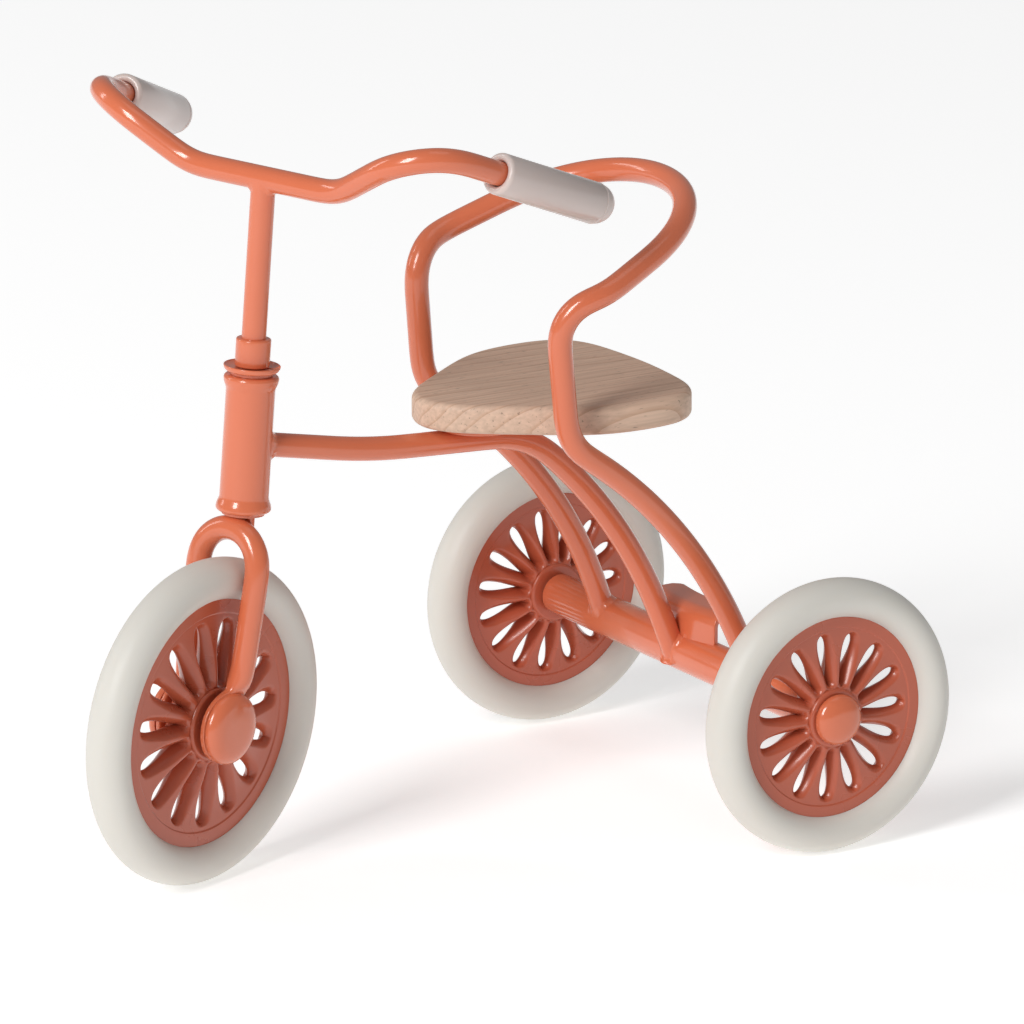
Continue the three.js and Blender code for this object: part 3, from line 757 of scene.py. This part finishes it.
def screw_head(name, x, y):
    """A pan head with a cross recess, as a height over the disc: the dome, its height times
    1 - (r / R) ^ 2.6, less a cross-shaped pit where the smaller of |x| and |y| is inside a blade."""
    radius = 1.25
    dome_height = 0.8
    blade_half = 0.19
    blade_reach = 0.8
    pit_depth = 0.45
    share = np.linspace(0, 1, 26)[:, None]
    angle = np.linspace(0, 2 * math.pi, 96, endpoint=False)
    px = radius * share * np.cos(angle)
    py = radius * share * np.sin(angle)
    dome = dome_height * (1 - share**2.6)
    blade = np.clip((blade_half - np.minimum(np.abs(px), np.abs(py))) / 0.06, 0, 1)
    pit = pit_depth * blade * np.clip((blade_reach - np.hypot(px, py)) / 0.12, 0, 1)
    base = plate_low - 0.05
    face = np.stack([px + x, py + y, base - dome + pit], axis=-1)
    top = np.stack([px + x, py + y, np.full(px.shape, base + 0.3)], axis=-1)[::-1]
    return skin(name, np.concatenate([face, top]) + ground)


screw_ahead = 29
screw_aside = 4
for side, name in ((1, "left"), (-1, "right")):
    head = screw_head("seat_screw_head_" + name, screw_ahead, screw_aside * side)
    painted(head, "frame", "seat_screw_" + name, material=steel, slot="steel")


# ---- Wheel discs ----
# A moulded disc with a raised hub ring and fifteen leaf-shaped slots that go right through. Between
# them stand spokes with round backs: narrow ridges at the hub, flush with the flat rim outside.
SLOTS = 15
HUB_SHARE = 0.29
LEAF_END = 0.845
HOLE_START = 0.355
HOLE_END = 0.805
RIM_ROUND = 0.3
rear_rim = 14.1
front_rim = 17.1
bush_bore = 1.75


def disc_face(radius, rim, hub_height):
    """Height of a disc's face over its middle plane along the back of a spoke: the hub ring, a round
    foot, a ridge that falls gently outwards, the flat, a fine step, and the rounded rim."""
    share = radius / rim
    flat_height = 1.05
    step_height = 0.15
    step_share = 0.872
    flat = flat_height + step_height * smooth((share - step_share) / 0.012)
    face = flat + (hub_height - 0.3 - flat) * (1 - smooth((share - HUB_SHARE) / 0.5))
    hub = rim * HUB_SHARE
    hub_round = 0.45
    shoulder = ((radius - hub + hub_round) / hub_round).clip(0, 1)
    ring = hub_height - 0.4 * (1 - np.sqrt(1 - shoulder**2))
    face = np.where(radius < hub, ring, face + (ring - face) * (1 - smooth((radius - hub) / 0.35)))
    edge = ((radius - rim + RIM_ROUND) / RIM_ROUND).clip(0, 1)
    face = face - RIM_ROUND * (1 - np.sqrt(1 - edge**2 * 0.999))
    return np.where((radius <= bush_bore + 1e-6) | (radius >= rim - 1e-6), 0, face)


def wheel_disc(name, hub_point, outer_axis, rim, outer_hub, inner_hub):
    """Fifteen sectors, each a grid of radius by place across the spoke, for both faces. At radius r the
    spoke's half width is half the pitch less the hole; the height is floor + (ridge - floor)
    (1 - t ^ 1.4) ^ 0.8, where t runs from the edge of the ridge to the side of the leaf. Both faces meet
    at height zero round each hole, and neighbours share their sides elsewhere."""
    radius = np.concatenate([
        [bush_bore, bush_bore + 0.02],
        np.linspace(bush_bore + 0.3, rim * HUB_SHARE - 0.5, 4),
        np.linspace(rim * HUB_SHARE - 0.45, rim * HUB_SHARE + 0.4, 14),
        np.linspace(rim * 0.325, rim * 0.74, 34),
        np.linspace(rim * 0.75, rim * 0.86, 22),
        np.linspace(rim * 0.868, rim * 0.886, 6),
        np.linspace(rim * 0.91, rim - 0.35, 4),
        rim - RIM_ROUND + RIM_ROUND * np.sin(np.linspace(0, math.pi / 2, 6)),
        [rim],
    ])[:, None]
    share = radius / rim
    half_pitch = radius * math.pi / SLOTS
    size = rim / rear_rim
    leaf_half = 1.4 * size
    leaf_bend = 0.52
    tip = np.clip((share - leaf_bend) / (LEAF_END - leaf_bend), 0, 1)
    leaf = np.minimum(leaf_half * np.sqrt(1 - tip**4), 0.88 * half_pitch)
    leaf = leaf * (share < LEAF_END) * (share > HUB_SHARE)
    hole_half = 0.62 * size
    widest = 0.75
    run = np.clip((share - HOLE_START) / (HOLE_END - HOLE_START), 0, 1)
    hole = hole_half * np.sin(math.pi / 2 * np.clip(run / widest, 0, 1)) ** 1.3
    hole = hole * np.sqrt(1 - np.clip((run - widest) / (1 - widest), 0, 1) ** 2)
    hole = np.minimum(hole, 0.8 * leaf)
    side = half_pitch - hole
    ridge_half = np.minimum(half_pitch - leaf, side) * 0.8
    place = np.sin(np.linspace(-1, 1, 27) * math.pi / 2)[None]
    across_spoke = side * place
    t = np.clip((np.abs(across_spoke) - ridge_half) / np.maximum(side - ridge_half, 1e-6), 0, 1)
    t = np.where(leaf > 0, t, 0)
    angle = across_spoke / radius
    step = 2 * math.pi / SLOTS
    sectors = []
    for face, hub_height in ((1, outer_hub), (-1, inner_hub)):
        ridge = disc_face(radius, rim, hub_height)
        inner_floor = 1 - smooth((share - HUB_SHARE) / (HOLE_START - HUB_SHARE))
        outer_floor = smooth((share - HOLE_END) / (LEAF_END - HOLE_END))
        floor = ridge * np.where(share < 0.6, inner_floor, outer_floor)
        height = floor + (ridge - floor) * (1 - t**1.4) ** 0.8
        sectors.append(face * height)
    turn = np.arange(SLOTS)[:, None, None] * step + angle
    axis = unit(np.asarray(outer_axis, float))
    p = column_up if abs(axis @ column_up) < 0.01 else np.array([0, 0, 1.0])
    q = np.cross(axis, p)
    flat_points = radius[None, :, :, None] * (np.cos(turn)[..., None] * p + np.sin(turn)[..., None] * q)
    both = [hub_point + flat_points + height[None, :, :, None] * axis for height in sectors]
    points = np.stack(both).reshape(-1, 3)
    rows, columns = angle.shape
    number = np.arange(len(points)).reshape(2, SLOTS, rows, columns)
    corners = [number[..., :-1, :-1], number[..., 1:, :-1], number[..., 1:, 1:], number[..., :-1, 1:]]
    faces = np.stack(corners, axis=-1)
    faces = np.concatenate([faces[0].reshape(-1, 4), faces[1].reshape(-1, 4)[:, ::-1]])
    return lay_mesh(name, points, faces)


wheel_paint = sprayed_material(
    "wheel_paint",
    {
        "Colour": (0.50, 0.106, 0.05, 1),
        "Deep Colour": (0.42, 0.082, 0.038, 1),
        "Drift": 0.5,
        "Ripple Scale": 1200.0,
        "Gloss Low": 0.2,
        "Gloss High": 0.4,
        "Nibs": 0.2,
    },
    0.006,
    Coat_Weight=0.25,
    Coat_Roughness=0.1,
)

outwards_left = np.array([0.0, 1, 0])
wheels = (
    ("rear_left", "rear_left_wheel", rear_left_hub, outwards_left, rear_rim, 2.0, 2.9),
    ("rear_right", "rear_right_wheel", rear_right_hub, -outwards_left, rear_rim, 2.0, 2.9),
    ("front", "front_wheel", front_hub, fork_left, front_rim, 2.4, 2.4),
)
for name, body, hub_point, outer_axis, rim, outer_hub, inner_hub in wheels:
    disc = wheel_disc(name + "_disc_moulding", hub_point, outer_axis, rim, outer_hub, inner_hub)
    painted(disc, body, name + "_disc", material=wheel_paint, slot="coral_wheel")


# ---- Tyres ----
# Each tyre is one moulded ring of milky rubber with an oval section, stretched on the edge of its disc.
# A hair of flash runs round both of its shoulders, where the parts of the mould met.
TYRE_HALF = 3.1
tyre_rubber = sprayed_material(
    "tyre_rubber",
    {
        "Colour": (0.70, 0.68, 0.63, 1),
        "Deep Colour": (0.64, 0.61, 0.55, 1),
        "Drift": 0.6,
        "Ripple Scale": 420.0,
        "Gloss Low": 0.42,
        "Gloss High": 0.55,
        "Nibs": 0.2,
    },
    0.01,
    Subsurface_Weight=0.25,
    Subsurface_Radius=(0.004, 0.0034, 0.0028),
    Subsurface_Scale=0.5,
)


def tyre_profile(tyre_radius, rim):
    """An oval round from lip to lip, [centre + a cos t, b sin t], where a is chosen so that the oval
    laps 0.2 over the rim of the disc; a thin raised line of flash on each shoulder; the flat seat."""
    face = 1.2
    lap = 0.2
    flash_place = 1.15
    seat = rim + 0.03
    closing = math.sqrt(1 - (face / TYRE_HALF) ** 2)
    across = (tyre_radius - rim + lap) / (1 + closing)
    opening = math.pi - math.asin(face / TYRE_HALF)
    angle = np.linspace(-opening, opening, 110)
    flash = 0.03 * np.exp(-(((np.abs(angle) - flash_place) / 0.014) ** 2))
    oval = np.stack([
        tyre_radius - across + (across + flash) * np.cos(angle),
        (TYRE_HALF + flash) * np.sin(angle),
    ], axis=1)
    return np.concatenate([oval, [[seat, 0.9], [seat, 0], [seat, -0.9]]])


# The rear tyres stand upright, so half the height of their box is their radius.
front_tyre_radius = 22.3
for name, body, hub_point, outer_axis, rim, _, _ in wheels:
    low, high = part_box(name + "_tyre")
    tyre_radius = front_tyre_radius if name == "front" else (high[2] - low[2]) / MM / 2
    ring = turned(name + "_tyre_ring", tyre_profile(tyre_radius, rim), hub_point, outer_axis, sides=160)
    painted(ring, body, name + "_tyre", material=tyre_rubber, slot="tyre_rubber")


# ---- Hub caps ----
# Pressed steel caps on the ends of the pins, painted with the frame: high domes on the rear wheels and
# broad low buttons that hold the fork's eyes at the front.
rear_cap_place = 2.1
front_cap_place = 4.35


def dome_profile(radius, height, fullness):
    """A cap: flat underneath, a short wall, then the radius times cos a ^ fullness at a height that
    grows with sin a up to the crown."""
    angle = np.radians(np.linspace(0, 90, 22))
    wall = height * 0.18
    crown = np.stack([
        radius * np.cos(angle) ** fullness,
        wall + (height - wall) * np.sin(angle),
    ], axis=1)
    crown[-1, 0] = 0
    return np.concatenate([[[0, 0], [radius * 0.97, 0]], crown])


for name, hub_point, way in (("rear_left", rear_left_hub, 1), ("rear_right", rear_right_hub, -1)):
    base = hub_point + [0, rear_cap_place * way, 0]
    profile = dome_profile(radius=3.5, height=2.1, fullness=0.85)
    painted(turned(name + "_hub_cap", profile, base, (0, way, 0)), "frame", name + "_cap")
for name, way in (("front_left", 1), ("front_right", -1)):
    base = front_hub + fork_left * front_cap_place * way
    profile = dome_profile(radius=4.9, height=1.9, fullness=0.5)
    painted(turned(name + "_hub_cap", profile, base, fork_left * way), "steering", name + "_cap")


# ---- Fork ----
# One rod bent to a U over the wheel. Each end is pressed flat to an eye that wraps the pin, between the
# hub and the cap.
crown_height = 26.1
fork_spread = 5.2
fork_lean = 2
eye_place = 5.9
eye_radius = 4.8
eye_middle = 3.8
eye_half_thickness = 0.5
fork_ahead = np.cross(fork_left, column_up)


def on_column(points, turn=0.0):
    """Points of the fork's own frame (ahead, left, up the column) in the part's frame, turned further
    round the column by an angle: base + x' ahead + y' left + z up."""
    points = np.asarray(points, float)
    ahead = math.cos(turn) * fork_ahead + math.sin(turn) * fork_left
    left = math.cos(turn) * fork_left - math.sin(turn) * fork_ahead
    return column_base + points @ np.stack([ahead, left, column_up])


leg = [
    (eye_place, eye_middle, 0),
    (eye_place - 0.8, eye_middle, 3.2, 4),
    (3.9, 4.6, 6.8, 7),
    (fork_lean, fork_spread, crown_height, fork_spread - 0.1),
]
other_side = np.array([1, -1, 1])
crown_line = bent_path(leg + [(corner[0], -corner[1], *corner[2:]) for corner in leg[::-1]])
left_eye = np.linspace([eye_place, eye_middle, -1], [eye_place, eye_middle, 0], 16, endpoint=False)
left_eye[:, 2] = -eye_radius * np.sin(-left_eye[:, 2] * math.pi / 2)
fork_line = np.concatenate([left_eye, crown_line, left_eye[::-1] * other_side])

# The eye's half width at a level is the root of R squared less the level squared. The fourth root of
# the sum of fourth powers joins it to the rod, which is pressed below 3.6 and fully round above 6.6.
level = fork_line[:, 2]
eye_half = np.sqrt(np.maximum(eye_radius**2 - level**2, 1e-8))
rod_half = ROD * smooth((level - 1) / 3)
pressed = 1 - smooth((level - 3.6) / 3)
fork_rings = swept(
    fork_line,
    ROD + (eye_half_thickness - ROD) * pressed,
    (eye_half**4 + rod_half**4) ** 0.25,
    (1.0, 0, 0.0001),
    roundness=1 - 0.6 * pressed,
    sides=56,
)
fork_piece = skin("fork_rod", on_column(fork_rings))
painted(fork_piece, "steering", "fork")


# ---- Stem, collar and stop washer ----
# The stem is a rod welded under the middle of the handlebar. A collar clamps it to the top of the
# column, a little further round than the fork, over a split washer with a notch in its rim.
bar_turn = math.radians(2.6)
bar_height = 73.2
stem_foot = 49.6
collar_top = 51.6
stem_line = on_column([[0, 0, stem_foot], [0, 0, bar_height]])
painted(bent_rod("stem_rod", stem_line, (1, 0.3, 0)), "steering", "stem_tube")

collar_foot = head_top + 1.15
collar_profile = np.concatenate([
    [[0, collar_foot], [1.0, collar_foot]],
    arc((2.15, collar_foot + 0.2), 0.2, -90, 0, 5),
    arc((2.1, collar_top - 0.25), 0.25, 0, 90, 6),
    [[1.0, collar_top], [0, collar_top]],
])
painted(turned("collar", collar_profile, column_base, column_up), "steering", "stem_collar")


def split_washer(name):
    """A dished ring open at its notch: the closed section, a disc with an upturned rim, is carried round
    the column from one side of the notch to the other, and shrinks to its middle at both ends."""
    base = head_top + 0.45
    section = np.concatenate([
        [[1.75, base + 0.1]],
        arc((3.25, base + 0.6), 0.55, -90, 0, 7),
        arc((3.7, base + 0.75), 0.12, 0, 180, 6),
        [[3.1, base + 0.55], [1.75, base + 0.55]],
    ])
    notch_place = 2.1
    notch_half = 0.14
    places = 120
    turn = np.linspace(notch_place + notch_half, notch_place + 2 * math.pi - notch_half, places)
    middle = section.mean(axis=0)
    shrink = np.ones(places)
    shrink[[0, -1]] = 0
    ring = middle + (section[None] - middle) * shrink[:, None, None]
    x = ring[..., 0] * np.cos(turn)[:, None]
    y = ring[..., 0] * np.sin(turn)[:, None]
    return skin(name, on_column(np.stack([x, y, ring[..., 1]], axis=-1)))


painted(split_washer("stop_washer_ring"), "steering", "stop_washer")


# ---- Handlebar and grips ----
# One rod, bent up from the stem, round over the shoulders and back to both hands. The grips are soft
# milky vinyl sleeves with a closed round end, pushed on to the bends.
GRIP = 2.83
grip_length = 21.3
grip_start = np.array([-9.2, 30.8, 78.1])
grip_way = unit(np.array([-0.925, 0.218, -0.305]))

bar_end = grip_start + grip_way * (grip_length - 5)
hand_bend = grip_start - grip_way * 7.8
bar_left = [
    tuple(bar_end),
    (*hand_bend, 8.7),
    (3.6, 24.3, 80.5, 8.5),
    (0, 12.1, bar_height, 7.6),
]
bar_line = bent_path(bar_left + [(corner[0], -corner[1], *corner[2:]) for corner in bar_left[::-1]])
painted(bent_rod("handlebar_rod", on_column(bar_line, bar_turn), (0.5, 0.4, -0.8)), "steering", "handlebar")
painted(
    weld_bead(
        "stem_weld",
        on_column([0, 0, bar_height - WELD_LEAD]),
        column_up,
        ROD,
        on_column([0, 0, bar_height]),
        on_column([0, 1, 0], bar_turn) - on_column([0, 0, 0]),
        ROD,
        0.55,
    ),
    "steering",
)

grip_vinyl = sprayed_material(
    "grip_vinyl",
    {
        "Colour": (0.63, 0.535, 0.5, 1),
        "Deep Colour": (0.56, 0.46, 0.425, 1),
        "Drift": 0.5,
        "Ripple Scale": 500.0,
        "Gloss Low": 0.3,
        "Gloss High": 0.42,
        "Nibs": 0.15,
    },
    0.008,
    Subsurface_Weight=0.35,
    Subsurface_Radius=(0.003, 0.0024, 0.002),
    Subsurface_Scale=0.5,
    Coat_Weight=0.5,
    Coat_Roughness=0.1,
)


def grip_profile():
    """A sleeve: the open end's inner wall, a round lip, a plain barrel, a fine ring, a tiny shoulder and
    the half round of the closed end."""
    lip = 0.55
    barrel_end = grip_length - GRIP
    return np.concatenate([
        [[0, 0.9], [ROD, 0.9]],
        arc((GRIP - lip, lip), lip, 180, 360, 14),
        [[GRIP, barrel_end - 0.35], [GRIP - 0.06, barrel_end - 0.25], [GRIP - 0.06, barrel_end - 0.1]],
        [[GRIP, barrel_end]],
        arc((0, barrel_end + 0.05), GRIP - 0.08, 2, 90, 20),
    ])


for side, name in ((1, "left"), (-1, "right")):
    start = on_column(grip_start * [1, side, 1], bar_turn)
    way = on_column(grip_way * [1, side, 1], bar_turn) - column_base
    sleeve = turned(name + "_grip_sleeve", grip_profile(), start, way, sides=80)
    painted(sleeve, "steering", name + "_grip", material=grip_vinyl, slot="grip_vinyl")


# ---- Pins, washers, spacers and bushes ----
# Small turned pieces inside the hubs and the head tube keep their own shape, with a plain steel, nylon
# or painted finish.
nylon = sprayed_material(
    "nylon",
    {
        "Colour": (0.80, 0.78, 0.74, 1),
        "Deep Colour": (0.72, 0.70, 0.65, 1),
        "Drift": 0.5,
        "Ripple Scale": 1500.0,
        "Gloss Low": 0.4,
        "Gloss High": 0.55,
        "Nibs": 0.0,
    },
    0.005,
)
inner_finish = {
    steel: (
        "rear_axle_pin",
        "front_axle_pin",
        "rear_left_washer",
        "rear_right_washer",
        "front_left_spacer",
        "front_right_spacer",
    ),
    nylon: ("front_hub_bush", "rear_left_hub_bush", "rear_right_hub_bush"),
    coral_paint: ("steerer", "lower_head_bush", "upper_head_bush"),
}
for material, names in inner_finish.items():
    for name in names:
        node = frame["nodes"][name]
        node.data.materials.clear()
        node.data.materials.append(material)
